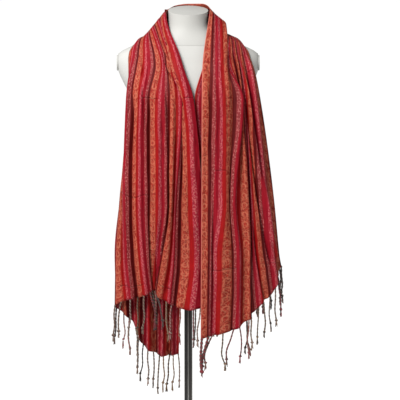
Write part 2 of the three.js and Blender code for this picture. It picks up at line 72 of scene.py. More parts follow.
# Lines of the cloth, s mm from the selvedge at the neck: over the shoulder (ridge x and z), then x at the
# collar, chest, waist and hip levels and at the hem, the hem's height, and how far behind the foremost layer
# the line lies at those five levels.
line_columns = ["s", "ridge_x", "ridge_z", "collar", "chest", "waist", "hip", "hem", "hem_z", "lift"]
left_lines = [
    [0, -59, 1464, -40, -12, 12, 12, 12, 650, [8, 8, 8, 8, 8]],
    [36, -61, 1477, -14, 16, 39, 41, 36, 652, [3, 3, 4, 4, 4]],
    [60, -67, 1470, -29, -7, 11, 15, 3, 647, [0, 0, 0, 0, 0]],
    [82, -73, 1463, -49, -18, -10, -11, -28, 654, [2, 2, 0, 0, 0]],
    [104, -79, 1455, -40, -14, -29, -35, -46, 662, [9, 8, 2, 1, 1]],
    [125, -85, 1449, -44, -24, -35, -42, -56, 667, [11, 8, 3, 2, 1]],
    [140, -89, 1443, -50, -35, -42, -53, -74, 677, [9, 6, 3, 1, 1]],
    [165, -95, 1436, -60, -54, -56, -76, -90, 694, [6, 4, 2, 5, 8]],
    [210, -105, 1424, -76, -90, -89, -90, -94, 701, [3, 2, 4, 17, 23]],
    [235, -110, 1418, -94, -110, -112, -105, -99, 699, [2, 2, 2, 3, 6]],
    [280, -119, 1408, -128, -137, -144, -136, -126, 685, [0, 1, 2, 0, 0]],
    [304, -124, 1402, -143, -157, -162, -156, -145, 679, [2, 3, 2, 0, 0]],
    [340, -131, 1393, -161, -168, -184, -183, -173, 671, [7, 10, 4, 1, 1]],
    [376, -131, 1389, -166, -163, -191, -203, -206, 652, [16, 19, 15, 8, 9]],
    [420, -121, 1394, -146, -142, -178, -190, -185, 634, [20, 23, 28, 27, 27]],
    [470, -109, 1404, -120, -114, -147, -158, -150, 594, [20, 22, 33, 34, 33]],
    [505, -102, 1412, -104, -98, -125, -137, -139, 556, [20, 21, 34, 37, 37]],
    [540, -95, 1420, -90, -82, -104, -114, -117, 530, [19, 20, 34, 40, 40]],
    [620, -80, 1436, -70, -52, -60, -66, -69, 509, [18, 19, 31, 38, 38]],
    [700, -67, 1450, -54, -20, -22, -22, -26, 516, [17, 18, 29, 33, 34]],
]
right_lines = [
    [0, 61, 1476, 40, 38, 37, 36, 35, 566, [0, 0, 0, 0, 0]],
    [25, 71, 1469, 66, 64, 60, 58, 55, 572, [1, 1, 1, 2, 2]],
    [45, 80, 1461, 79, 83, 77, 66, 63, 574, [0, 0, 0, 7, 9]],
    [70, 94, 1450, 97, 105, 105, 94, 89, 580, [0, 0, 0, 0, 0]],
    [90, 105, 1438, 114, 127, 116, 124, 119, 588, [2, 0, 0, 0, 0]],
    [110, 101, 1412, 108, 146, 124, 136, 133, 593, [9, 1, 3, 2, 1]],
    [130, 105, 1410, 119, 150, 134, 148, 146, 600, [11, 6, 7, 3, 2]],
    [160, 110, 1408, 127, 142, 160, 167, 167, 618, [9, 11, 4, 5, 5]],
    [190, 114, 1406, 132, 144, 155, 159, 163, 618, [8, 12, 17, 18, 16]],
    [215, 117, 1405, 136, 149, 159, 165, 172, 626, [7, 10, 20, 20, 18]],
    [240, 121, 1404, 141, 153, 166, 175, 188, 642, [6, 8, 15, 13, 9]],
    [280, 126, 1402, 150, 164, 183, 198, 214, 666, [5, 6, 7, 5, 4]],
    [320, 130, 1400, 163, 177, 205, 225, 240, 694, [5, 5, 3, 2, 2]],
    [350, 133, 1398, 174, 191, 224, 245, 253, 732, [8, 7, 3, 2, 3]],
    [376, 134, 1395, 180, 201, 240, 257, 262, 760, [14, 14, 10, 10, 11]],
    [420, 130, 1392, 168, 190, 227, 241, 244, 754, [17, 24, 26, 26, 26]],
    [480, 122, 1393, 142, 162, 194, 206, 207, 736, [17, 27, 33, 34, 34]],
    [550, 108, 1401, 110, 122, 150, 161, 162, 716, [19, 28, 35, 37, 37]],
    [620, 88, 1417, 78, 72, 100, 111, 112, 692, [20, 27, 32, 34, 34]],
    [700, 67, 1442, 42, 18, 50, 66, 70, 672, [18, 26, 27, 28, 28]],
]

# Levels that the fronts cross: height, reach of the foremost layer ahead of the middle, and the spread of the
# outline
levels = [
    ("collar", 1325, 97, 205),
    ("chest", 1231, 131, 225),
    ("waist", 954, 134, 262),
    ("hip", 787, 136, 280),
    ("hem", None, 137, 290),
]
RIGHT_EXTRA_REACH = 9
OUTLINE_POWER = 2.4
RIDGE_Y = 4
BLADE_OUT = 0.64
BLADE_BACK = 0.76
BLADE_NAPE_SHARE = 0.52
BLADE_LIFT = 8
BLADE_LIFT_WIDTH = 60
ALONG = {"blade": 105, "ridge": 205, "collar": 345, "chest": 445, "waist": 722, "hip": 889}
LEFT_HEM = 1030
RIGHT_HEM = 1090

# The doubled cloth at the nape: line, reach behind the middle, height
nape_lines = [
    [0, 66, 1492], [60, 76, 1438], [120, 90, 1380], [200, 105, 1312], [280, 116, 1245], [330, 114, 1214],
    [370, 104, 1232], [450, 96, 1295], [540, 86, 1356], [620, 72, 1412], [700, 62, 1462],
]

# Soft folds: middle, half width, depth, where each starts and ends along the cloth, and its drift in s on the
# way. A depth above 0 goes in between the two layers, one below 0 stands out from them.
left_folds = [
    [56, 13, -6, 235, 1130, 0],
    [92, 8, 12, 520, 1130, 0],
    [113, 12, -8, 250, 1130, 4],
    [133, 8, 6, 520, 1130, 0],
    [149, 12, -9, 420, 1130, 0],
    [170, 8, 14, 400, 850, -14],
    [158, 9, 14, 760, 1130, 45],
    [200, 17, -11, 430, 1130, 4],
    [232, 8, 14, 400, 1130, -4],
    [264, 18, -12, 330, 1130, 3],
    [298, 8, 14, 410, 1130, 3],
    [322, 13, -9, 310, 1130, -2],
    [344, 8, 8, 370, 1130, 0],
    [250, 11, 13, 235, 490, -202],
    [228, 13, -9, 235, 450, -171],
    [300, 10, 8, 235, 520, -60],
    [404, 15, -13, 480, 1130, 0],
    [432, 15, 14, 510, 1130, 4],
    [462, 16, -16, 480, 1130, -4],
    [494, 15, 14, 550, 1130, 0],
    [522, 14, -13, 490, 1130, 5],
    [552, 16, 16, 530, 1130, 0],
    [584, 16, -14, 480, 1130, -5],
    [613, 14, 13, 570, 1130, 0],
    [641, 15, -16, 490, 1130, 4],
    [669, 14, 10, 530, 1130, 0],
]
right_folds = [
    [16, 8, 7, 300, 1190, 45],
    [36, 12, -4, 370, 1190, 4],
    [66, 12, -5, 410, 1190, 6],
    [88, 12, 8, 270, 1190, 8],
    [114, 14, -8, 330, 1190, 6],
    [141, 13, 8, 370, 1190, 0],
    [167, 14, -10, 270, 1190, -5],
    [197, 16, 10, 290, 1190, 0],
    [226, 14, -12, 270, 1190, 4],
    [264, 8, 14, 440, 900, -20],
    [262, 9, 13, 740, 1190, 30],
    [243, 9, 12, 300, 960, 92],
    [274, 13, -10, 330, 960, 92],
    [310, 10, 9, 310, 700, 20],
    [338, 13, -9, 270, 1190, -4],
    [362, 9, 6, 410, 1190, 0],
    [402, 15, -10, 490, 1190, 0],
    [431, 15, 14, 530, 1190, 5],
    [461, 16, -14, 480, 1190, 0],
    [492, 16, 16, 510, 1190, -4],
    [524, 16, -14, 570, 1190, 0],
    [555, 15, 13, 490, 1190, 4],
    [584, 15, -16, 530, 1190, 0],
    [614, 16, 14, 490, 1190, -5],
    [645, 15, -13, 550, 1190, 0],
    [674, 13, 10, 510, 1190, 0],
]
# Cowl folds across the back: middle, half width, depth
back_folds = [[46, 20, -6], [94, 22, 4], [146, 23, -9], [198, 24, 6], [250, 22, -10], [296, 20, 6]]
FOLD_RUN = 90
BACK_FOLD_FADE = 160
GATHER_REACH = 16
LEAST_GATHER = 0.9
SHOULDER_SHARE = 0.6
SHOULDER_FADE = 280
LAYER_ROOM = 5.5
OUTER_RISE = 40
OUTER_END = 320
OUTER_FADE = 60
NECK_HUG = 8
HUG_FROM = 50
HUG_FADE = 80
HUG_AT = 262
HUG_REACH = 60
CLEARING_PASSES = 6
LONGEST_PUSH = 12
HANGS_FREE_BELOW = TORSO_BOTTOM - 30


# Curves through tables
def smooth_through(places, values, at):
    """Values at the given places on a smooth curve that never swings past the table's; axis 0 is its rows."""
    places = np.asarray(places, float)
    values = np.asarray(values, float)
    at = np.asarray(at, float)
    gaps = np.diff(places)
    widths = gaps.reshape([-1] + [1] * (values.ndim - 1))
    slopes = np.diff(values, axis=0) / widths
    before, after = slopes[:-1], slopes[1:]
    same = before * after > 0
    total = np.where(same, before + after, 1.0)
    tangents = np.concatenate([slopes[:1], np.where(same, 2 * before * after / total, 0.0), slopes[-1:]])
    i = np.clip(np.searchsorted(places, at) - 1, 0, len(places) - 2)
    width = gaps[i]
    t = (at - places[i]) / width
    held = np.clip(t, 0, 1)
    shape = [-1] + [1] * (values.ndim - 1)
    h, w = held.reshape(shape), width.reshape(shape)
    curve = (values[i] * (1 + 2 * h) * (1 - h) ** 2 + tangents[i] * w * h * (1 - h) ** 2
             + values[i + 1] * h * h * (3 - 2 * h) + tangents[i + 1] * w * h * h * (h - 1))
    past = ((t - held) * width).reshape(shape)
    return curve + np.where(past > 0, tangents[i + 1], tangents[i]) * past


def ease(t):
    held = np.clip(t, 0, 1)
    return held * held * (3 - 2 * held)


def bump(distance):
    return np.where(np.abs(distance) < 1, (1 - distance ** 2) ** 2, 0)


# The form's surface
def form_sizes(heights):
    """The form's half width and its reach to the front and to the back at the given heights."""
    names = ("half", "front", "back")
    return [smooth_through(form_sections["z"], form_sections[name], heights) for name in names]


def form_distance(points):
    """About how far points lie outside the form, and the way straight out."""
    def reach(x, y, z):
        level = np.clip(z, TORSO_BOTTOM, NECK_TOP)
        half, front, back = (sizes.reshape(z.shape) for sizes in form_sizes(level.ravel()))
        return np.hypot(x / half, y / np.where(y < 0, front, back))
    x, y, z = points[..., 0], points[..., 1], points[..., 2]
    slope = np.stack([
        reach(x + 1, y, z) - reach(x - 1, y, z),
        reach(x, y + 1, z) - reach(x, y - 1, z),
        reach(x, y, z + 1) - reach(x, y, z - 1),
    ], axis=-1) / 2
    steep = np.linalg.norm(slope, axis=-1)
    return (reach(x, y, z) - 1) / steep, slope / steep[..., None]


def clear_of_form(points, clearance):
    for _ in range(CLEARING_PASSES):
        distance, out = form_distance(points)
        short = np.where(points[..., 2] < HANGS_FREE_BELOW, 0, np.clip(clearance - distance, 0, LONGEST_PUSH))
        points = points + out * short[..., None]
    return points


# The cloth's surface
def side_stations(rows, extra_reach, s):
    """Where the given lines of one side cross its stations, from the ridge down to the hem."""
    places = [row[0] for row in rows]
    column = {name: smooth_through(places, [row[i] for row in rows], s)
              for i, name in enumerate(line_columns[:-1])}
    lifts = smooth_through(places, [row[-1] for row in rows], s)
    stations = [np.stack([column["ridge_x"], np.full_like(s, RIDGE_Y), column["ridge_z"]], axis=-1)]
    for i, (name, z, reach, spread) in enumerate(levels):
        x = column[name]
        fall = (1 - (np.abs(x) / spread) ** OUTLINE_POWER) ** (1 / OUTLINE_POWER)
        y = -(reach + extra_reach) * fall + lifts[:, i]
        height = column["hem_z"] if z is None else np.full_like(s, z)
        stations.append(np.stack([x, y, height], axis=-1))
    return stations


def cloth_middle(s, along):
    """Points of the cloth's middle surface before its folds, lines by crossings."""
    left = side_stations(left_lines, 0, s)
    right = side_stations(right_lines, RIGHT_EXTRA_REACH, s)
    nape_places = [row[0] for row in nape_lines]
    nape_reach, nape_z = (smooth_through(nape_places, [row[i] for row in nape_lines], s) for i in (1, 2))
    nape = np.stack([np.zeros_like(s), nape_reach, nape_z], axis=-1)

    def blade(ridge):
        lift = BLADE_LIFT * (1 - ease(s / BLADE_LIFT_WIDTH))
        z = ridge[:, 2] + (nape_z - ridge[:, 2]) * BLADE_NAPE_SHARE + lift
        return np.stack([ridge[:, 0] * BLADE_OUT, nape_reach * BLADE_BACK, z], axis=-1)

    stations = np.stack([*left[::-1], blade(left[0]), nape, blade(right[0]), *right])
    reaches = [ALONG[name] for name in ("ridge", "collar", "chest", "waist", "hip")]
    places = ([-LEFT_HEM] + [-at for at in reaches[::-1]] + [-ALONG["blade"], 0, ALONG["blade"]]
              + reaches + [RIGHT_HEM])
    points = smooth_through(places, stations, along).transpose(1, 0, 2)
    # The rolled edge lies close along the neck before it turns down
    hugged = 1 - ease((s - HUG_FROM) / HUG_FADE)
    points[..., 0] -= NECK_HUG * hugged[:, None] * bump((along + HUG_AT) / HUG_REACH)
    return points


def normals_of(points):
    across = np.gradient(points, axis=0)
    down = np.gradient(points, axis=1)
    normal = np.cross(across, down)
    return normal / np.linalg.norm(normal, axis=-1, keepdims=True)


def fold_depths(s, along):
    depth = np.zeros((len(s), len(along)))
    back_share = ease((ALONG["ridge"] - np.abs(along)) / BACK_FOLD_FADE)
    for middle, half, deep in back_folds:
        depth += deep * bump((s - middle) / half)[:, None] * back_share
    for folds, side in ((left_folds, -1), (right_folds, 1)):
        for middle, half, deep, start, end, drift in folds:
            out = along * side
            run = ease((out - start) / FOLD_RUN) * ease((end - out) / FOLD_RUN)
            at = middle + drift * np.clip((out - start) / (end - start), 0, 1)
            depth += deep * bump((s[:, None] - at) / half) * run
    return depth


def gathering(points, s):
    """How strongly the cloth folds: most where lines run at half their spacing, a little less elsewhere."""
    width = np.linalg.norm(np.gradient(points, s, axis=0), axis=-1)
    window = max(1, round(GATHER_REACH / (s[1] - s[0])))
    padded = np.pad(width, ((window, window), (0, 0)), mode="edge")
    total = np.cumsum(np.pad(padded, ((1, 0), (0, 0))), axis=0)
    smoothed = (total[2 * window + 1:] - total[:-2 * window - 1]) / (2 * window + 1)
    held = np.clip(smoothed, 0, 1)
    return np.clip(2 * np.sqrt(held * (1 - held)), LEAST_GATHER, 1)


def cloth_points(s, along):
    points = cloth_middle(s, along)
    narrowed = SHOULDER_SHARE + (1 - SHOULDER_SHARE) * ease((np.abs(along) - ALONG["ridge"]) / SHOULDER_FADE)
    behind = np.abs(along) < ALONG["ridge"]
    depth = fold_depths(s, along) * gathering(points, s) * np.where(behind, 1, narrowed)
    points = points + normals_of(points) * depth[..., None]
    # The outer layer stands further off the form, with room for the inner one under it
    outer = ease(s / OUTER_RISE) * (1 - ease((s - OUTER_END) / OUTER_FADE))
    return clear_of_form(points, (CLOTH_CLEARANCE + LAYER_ROOM * outer)[:, None])


# Meshes
def mesh_from(name, bm, smooth=True):
    mesh = bpy.data.meshes.new(name)
    bm.to_mesh(mesh)
    bm.free()
    for face in mesh.polygons:
        face.use_smooth = smooth
    obj = bpy.data.objects.new(name, mesh)
    bpy.context.scene.collection.objects.link(obj)
    return obj


def finish_piece(obj, material, slot_name, *nodes):
    obj.data.materials.append(material)
    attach(obj, "root")
    if nodes:
        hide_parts(*nodes)


# Materials
def linear(hex_colour):
    """An sRGB hex value as linear red, green, blue and alpha."""
    parts = [int(hex_colour[i:i + 2], 16) / 255 for i in (1, 3, 5)]
    return [p / 12.92 if p <= 0.04045 else ((p + 0.055) / 1.055) ** 2.4 for p in parts] + [1.0]


def add(tree, kind, inputs=None, **settings):
    """Adds a node, sets its settings, and fills or links its inputs."""
    node = tree.nodes.new(kind)
    for name, value in settings.items():
        setattr(node, name, value)
    for key, value in (inputs or {}).items():
        if isinstance(value, bpy.types.NodeSocket):
            tree.links.new(value, node.inputs[key])
        else:
            node.inputs[key].default_value = value
    return node


def new_material(name):
    material = bpy.data.materials.new(name)
    material.use_nodes = True
    tree = material.node_tree
    shader = tree.nodes["Principled BSDF"]
    return material, tree, shader


def fill_ramp(node, stops, interpolation="LINEAR"):
    ramp = node.color_ramp
    ramp.interpolation = interpolation
    while len(ramp.elements) > 1:
        ramp.elements.remove(ramp.elements[-1])
    ramp.elements[0].position = stops[0][0]
    ramp.elements[0].color = linear(stops[0][1])
    for place, colour in stops[1:]:
        element = ramp.elements.new(place)
        element.color = linear(colour)


# Stripes of one repeat, outward from the neck: colour and width
CORAL_WIDTH = 20
stripes = [
    ("#82241A", CORAL_WIDTH),
    ("#460304", 8.5),
    ("#702224", 9.5),
    ("#780616", 11.5),
    ("#841A28", 10.5),
    ("#7C0607", 10),
]
STRIPE_EDGE = 0.5
CORAL_EDGE = 0.8
MAUVE_MARKS = (29.5, 38.5)
PINK_MARKS = (50.2, 59.6)
ZIGZAG_START = 52.2
ZIGZAG_STEEPNESS = 720.0
ZIGZAG_REACH = 0.0075
SELVEDGE_WIDTH = 0.0022
CREASE_SPACING = 0.27

# A paisley drop: the pitch, the radius of its round end and how far that lies below the middle, how it tapers
# and bends towards the tip, its least half width, where the tip is cut off, and the outline's breadth
PAISLEY_PITCH = 26.0
DROP_RADIUS = 6.2
DROP_LOW = 5.0
DROP_TAPER = -0.38
DROP_BEND = 0.04
DROP_LEAST = 0.4
DROP_TOP = 10.5
DROP_OUTLINE = 0.42


def stripe_stops():
    stops = []
    start = 0
    for colour, width in stripes:
        end = start + width
        stops.append(((start + STRIPE_EDGE) / STRIPE_REPEAT, colour))
        stops.append(((end - STRIPE_EDGE) / STRIPE_REPEAT, colour))
        start = end
    return stops


def maths(tree, operation, a, b=0.0, c=0.0, clamp=False):
    return add(tree, "ShaderNodeMath", {0: a, 1: b, 2: c}, operation=operation, use_clamp=clamp).outputs[0]


def times(tree, a, b):
    return maths(tree, "MULTIPLY", a, b)


def mixed(tree, factor, a, b, blend="MIX"):
    return add(tree, "ShaderNodeMix", {0: factor, 6: a, 7: b}, data_type="RGBA", blend_type=blend).outputs[2]


def noise_at(tree, vector, stretch, detail=2.0):
    stretched = add(tree, "ShaderNodeMapping", {"Vector": vector, "Scale": stretch})
    noise = add(tree, "ShaderNodeTexNoise", {"Vector": stretched.outputs[0], "Scale": 1.0, "Detail": detail})
    return noise.outputs["Fac"]


def band(tree, value, middle, half):
    """1 at the middle value, fading to 0 at half the band's width to either side."""
    off = maths(tree, "ABSOLUTE", maths(tree, "SUBTRACT", value, middle))
    return maths(tree, "SUBTRACT", 1.0, maths(tree, "DIVIDE", off, half), clamp=True)


def within(tree, value, low, high):
    return maths(tree, "COMPARE", value, (low + high) / 2, (high - low) / 2)


def paisley(tree, x, along):
    """Outlines of drops with bent tips, one to each pitch, turned about in turn.

    x is in mm from the middle of the stripe.
    """
    cell = maths(tree, "DIVIDE", along, PAISLEY_PITCH * MM)
    odd = maths(tree, "MODULO", maths(tree, "FLOOR", maths(tree, "ABSOLUTE", cell)), 2.0)
    turned = times(tree, x, maths(tree, "MULTIPLY_ADD", odd, 2.0, -1.0))
    y = maths(tree, "MULTIPLY_ADD", maths(tree, "FRACT", cell), PAISLEY_PITCH, -PAISLEY_PITCH / 2)
    above = maths(tree, "ADD", y, DROP_LOW)
    rise = maths(tree, "MAXIMUM", above, 0.0)
    bent = maths(tree, "SUBTRACT", turned, times(tree, times(tree, rise, rise), DROP_BEND))
    half = maths(tree, "MAXIMUM", maths(tree, "MULTIPLY_ADD", rise, DROP_TAPER, DROP_RADIUS), DROP_LEAST)
    sideways = maths(tree, "DIVIDE", bent, half)
    fall = maths(tree, "DIVIDE", maths(tree, "MINIMUM", above, 0.0), DROP_RADIUS)
    squares = maths(tree, "ADD", times(tree, sideways, sideways), times(tree, fall, fall))
    outline = band(tree, maths(tree, "SQRT", squares), 1.0, DROP_OUTLINE)
    return times(tree, outline, maths(tree, "LESS_THAN", y, DROP_TOP))


def cloth_material():
    # Jacquard twill in fine wool and viscose: sharp stripes with woven ornament, dull with a trace of sheen
    material, tree, shader = new_material("jacquard_twill")
    weave = add(tree, "ShaderNodeUVMap", uv_map="weave").outputs[0]
    split = add(tree, "ShaderNodeSeparateXYZ", {0: weave})
    across, along = split.outputs[0], split.outputs[1]

    # The yarns wander by about 0.4 mm, so no stripe's edge is ruled, and gathers too small to be built
    # shift the stripes by up to 4 mm
    wander = noise_at(tree, weave, (900, 120, 1))
    gathers = noise_at(tree, weave, (16, 5, 1))
    pulled = maths(tree, "MULTIPLY_ADD", gathers, 0.012, maths(tree, "SUBTRACT", across, 0.006))
    shifted = maths(tree, "MULTIPLY_ADD", wander, 0.0009, pulled)
    place = maths(tree, "FRACT", maths(tree, "DIVIDE", shifted, STRIPE_REPEAT * MM))
    from_start = times(tree, place, float(STRIPE_REPEAT))
    ramp = add(tree, "ShaderNodeValToRGB", {0: place})
    fill_ramp(ramp, stripe_stops())

    # Paisley outlines among curling tendrils in the wide coral stripe, pale floats over a ground with darker
    # hatching
    in_coral = within(tree, from_start, CORAL_EDGE, CORAL_WIDTH - CORAL_EDGE)
    curls = noise_at(tree, weave, (105, 80, 1), 1.0)
    tendrils = maths(tree, "MAXIMUM", band(tree, curls, 0.4, 0.06), band(tree, curls, 0.6, 0.06))
    drops = paisley(tree, maths(tree, "SUBTRACT", from_start, CORAL_WIDTH / 2), along)
    hatch = band(tree, noise_at(tree, weave, (210, 150, 1)), 0.6, 0.1)
    pale = times(tree, maths(tree, "MAXIMUM", times(tree, tendrils, 0.75), drops), in_coral)
    hatched = mixed(tree, times(tree, times(tree, hatch, in_coral), 0.75), ramp.outputs[0], linear("#5A1410"))
    ornamented = mixed(tree, times(tree, pale, 0.65), hatched, linear("#B26C52"))

    # A broken pale zigzag down each pink stripe, and loose pale flecks in the pink and the mauve ones
    in_pink = within(tree, from_start, *PINK_MARKS)
    in_mauve = within(tree, from_start, *MAUVE_MARKS)
    uneven = maths(tree, "MULTIPLY_ADD", noise_at(tree, weave, (60, 60, 1)), 0.01, along)
    zigzag = maths(tree, "PINGPONG", uneven, ZIGZAG_REACH)
    chain = band(tree, maths(tree, "MULTIPLY_ADD", zigzag, ZIGZAG_STEEPNESS, ZIGZAG_START), from_start, 1.6)
    broken = maths(tree, "GREATER_THAN", noise_at(tree, weave, (300, 240, 1)), 0.5)
    fleck = maths(tree, "GREATER_THAN", noise_at(tree, weave, (420, 190, 1), 3.0), 0.56)
    pink_marks = maths(tree, "MAXIMUM", times(tree, times(tree, chain, broken), 0.7), times(tree, fleck, 0.5))
    mauve_marks = times(tree, times(tree, fleck, 0.55), in_mauve)
    marks = maths(tree, "ADD", times(tree, pink_marks, in_pink), mauve_marks)
    flecked = mixed(tree, times(tree, marks, 0.75), ornamented, linear("#C07C76"))

    # Single warp yarns a little lighter or darker, drawn 1 mm wide so that they show, and slow drifts of the
    # dye
    yarn = noise_at(tree, weave, (1000, 35, 1))
    drift = noise_at(tree, weave, (7, 4, 1))
    yarn_shade = maths(tree, "MULTIPLY_ADD", yarn, 1.3, 0.35)
    dye_shade = maths(tree, "MULTIPLY_ADD", drift, 0.4, 0.8)
    shaded = mixed(tree, 1.0, flecked, times(tree, yarn_shade, dye_shade), "MULTIPLY")

    # The plain selvedges
    edge = maths(tree, "MINIMUM", across, maths(tree, "SUBTRACT", CLOTH_WIDTH * MM, across))
    selvedge = times(tree, maths(tree, "LESS_THAN", edge, SELVEDGE_WIDTH), 0.8)
    tree.links.new(mixed(tree, selvedge, shaded, linear("#A85C50")), shader.inputs["Base Color"])

    # Twill lines 1.4 mm apart, coarser than the real 0.5 mm so that they show, small crumples, and the
    # creases of a folded wrap
    ribs = {"Vector": weave, "Scale": 110.0, "Distortion": 1.2, "Detail": 1.0}
    twill = add(tree, "ShaderNodeTexWave", ribs, wave_type="BANDS", bands_direction="DIAGONAL").outputs["Fac"]
    crumple = noise_at(tree, weave, (70, 13, 1), 3.0)
    bowed = maths(tree, "MULTIPLY_ADD", noise_at(tree, weave, (9, 2, 1)), 0.07, along)
    packed = band(tree, maths(tree, "FRACT", maths(tree, "DIVIDE", bowed, CREASE_SPACING)), 0.5, 0.012)
    height = maths(tree, "MULTIPLY_ADD", crumple, 6.0, times(tree, twill, 0.2))
    kept = maths(tree, "GREATER_THAN", noise_at(tree, weave, (11, 9, 1)), 0.54)
    relief = maths(tree, "MULTIPLY_ADD", times(tree, packed, kept), -1.6, height)
    lumps = add(tree, "ShaderNodeBump", {"Height": relief, "Strength": 0.9, "Distance": 0.0014})
    tree.links.new(lumps.outputs[0], shader.inputs["Normal"])
    shader.inputs["Roughness"].default_value = 0.6
    shader.inputs["Sheen Weight"].default_value = 0.01
    shader.inputs["Sheen Roughness"].default_value = 0.4
    shader.inputs["Sheen Tint"].default_value = linear("#E0A090")
    shader.inputs["Specular IOR Level"].default_value = 0.1
    return material


# Dyes of the fringe's plies
dyes = ["#6C5648", "#2A201E", "#7C685E", "#1E1616", "#6A161E", "#402C24", "#60462C"]


def yarn_material():
    # Twisted warp ends in greys, browns and crimson, dull and slightly hairy
    material, tree, shader = new_material("twisted_warp_yarn")
    pick = add(tree, "ShaderNodeAttribute", attribute_name="dye")
    ramp = add(tree, "ShaderNodeValToRGB", {0: pick.outputs["Fac"]})
    fill_ramp(ramp, [(i / len(dyes), colour) for i, colour in enumerate(dyes)], "CONSTANT")
    coords = add(tree, "ShaderNodeTexCoord").outputs["Object"]
    fuzz = noise_at(tree, coords, (900, 900, 900))
    shade = maths(tree, "MULTIPLY_ADD", fuzz, 1.3, 0.35)
    tree.links.new(mixed(tree, 1.0, ramp.outputs[0], shade, "MULTIPLY"), shader.inputs["Base Color"])
    shader.inputs["Roughness"].default_value = 0.85
    shader.inputs["Sheen Weight"].default_value = 0.15
    return material


def form_material():
    # Glass-fibre shell sprayed off-white: satin, with a faint orange-peel and the haze of handling. The neck
    # block above its joint is a shade greyer
    material, tree, shader = new_material("sprayed_fibreglass")
    coords = add(tree, "ShaderNodeTexCoord").outputs["Object"]
    height = add(tree, "ShaderNodeSeparateXYZ", {0: coords}).outputs[2]
    haze = noise_at(tree, coords, (9, 9, 9), 3.0)
    tint = add(tree, "ShaderNodeValToRGB", {0: haze})
    fill_ramp(tint, [(0.3, "#A3A29E"), (0.7, "#A9A8A4")])
    above = maths(tree, "GREATER_THAN", height, NECK_JOINT * MM)
    joint = band(tree, height, NECK_JOINT * MM, 0.0016)
    worn = maths(tree, "MULTIPLY_ADD", joint, 0.5, times(tree, above, 0.16), clamp=True)
    greyed = mixed(tree, worn, tint.outputs[0], linear("#84837E"))
    tree.links.new(greyed, shader.inputs["Base Color"])
    peel = times(tree, noise_at(tree, coords, (420, 420, 420)), 0.1)
    relief = maths(tree, "MULTIPLY_ADD", joint, -2.0, peel)
    lumps = add(tree, "ShaderNodeBump", {"Height": relief, "Strength": 0.5, "Distance": 0.0004})
    tree.links.new(lumps.outputs[0], shader.inputs["Normal"])
    tree.links.new(maths(tree, "MULTIPLY_ADD", haze, 0.2, 0.45), shader.inputs["Roughness"])
    shader.inputs["Specular IOR Level"].default_value = 0.25
    return material


def stand_material(name, drawn):
    # Steel in charcoal powder coat: satin, with a fine grain. On the drawn profile of the pole, a painted
    # highlight runs along its middle and its right edge, and its left flank has painted shade
    material, tree, shader = new_material(name)
    coords = add(tree, "ShaderNodeTexCoord").outputs["Object"]
    tint = add(tree, "ShaderNodeValToRGB", {0: noise_at(tree, coords, (14, 14, 14), 3.0)})
    fill_ramp(tint, [(0.35, "#262422"), (0.7, "#34312E")])
    colour = tint.outputs[0]
    if drawn:
        across = add(tree, "ShaderNodeSeparateXYZ", {0: coords}).outputs[0]
        # painted shade darkens the pole's left flank, and painted highlights run along its middle and its
        # right edge
        painted_shade_flank = maths(tree, "LESS_THAN", across, -0.001)
        painted_highlights = maths(tree, "MAXIMUM", band(tree, across, -0.0005, 0.0024), band(tree, across, 0.0112, 0.002))
        colour = mixed(tree, times(tree, painted_shade_flank, 0.6), colour, linear("#0E0D0D"))
        colour = mixed(tree, painted_highlights, colour, linear("#9A9894"))
    tree.links.new(colour, shader.inputs["Base Color"])
    grain = noise_at(tree, coords, (700, 700, 700))
    lumps = add(tree, "ShaderNodeBump", {"Height": grain, "Strength": 0.15, "Distance": 0.0003})
    tree.links.new(lumps.outputs[0], shader.inputs["Normal"])
    shader.inputs["Roughness"].default_value = 0.45
    shader.inputs["Metallic"].default_value = 0.2
    return material


# The cloth
def cloth_piece(s, along, points):
    columns, rows = len(s) - 1, len(along) - 1
    bm = bmesh.new()
    bmesh.ops.create_grid(bm, x_segments=columns, y_segments=rows, size=0.5)
    weave = bm.loops.layers.uv.new("weave")
    for vert in bm.verts:
        column = round((vert.co.x + 0.5) * columns)
        row = round((vert.co.y + 0.5) * rows)
        vert.index = column * (rows + 1) + row
    for face in bm.faces:
        for loop in face.loops:
            column, row = divmod(loop.vert.index, rows + 1)
            loop[weave].uv = (s[column] * MM, along[row] * MM)
    flat = points.reshape(-1, 3) * MM
    for vert in bm.verts:
        vert.co = flat[vert.index]
    obj = mesh_from("scarf_cloth", bm)
    wall = obj.modifiers.new("wall", "SOLIDIFY")
    wall.thickness = CLOTH_WALL * MM
    wall.offset = 0
    return obj


# Fringe
YARN_STEP = 3.2
YARN_PITCH = 9
YARN_RADIUS = 1.55
KNOT_REACH = 3.0
LOOSE_FIBRES = 8
PAIRED_SHARE = 0.3
STOUT_CORNER = 1.3
CORNER_DYES = [4, 5]

# Where strands draw together: from and to along the hem, the place they draw to, how far they go, and how
# stout they are
left_bunches = [[165, 255, 215, 0.75, 1.0], [345, 405, 372, 0.8, 1.1], [455, 525, 492, 0.8, 1.1]]
right_bunches = [
    [0, 30, 6, 0.95, 1.6], [112, 150, 140, 0.6, 1.0], [225, 265, 240, 0.7, 1.0], [335, 410, 370, 0.75, 1.1],
]


def yarn_spline(curve, points, radii):
    spline = curve.splines.new("POLY")
    spline.points.add(len(points) - 1)
    for point, place, radius in zip(spline.points, points, radii):
        point.co = (*place, 1)
        point.radius = radius


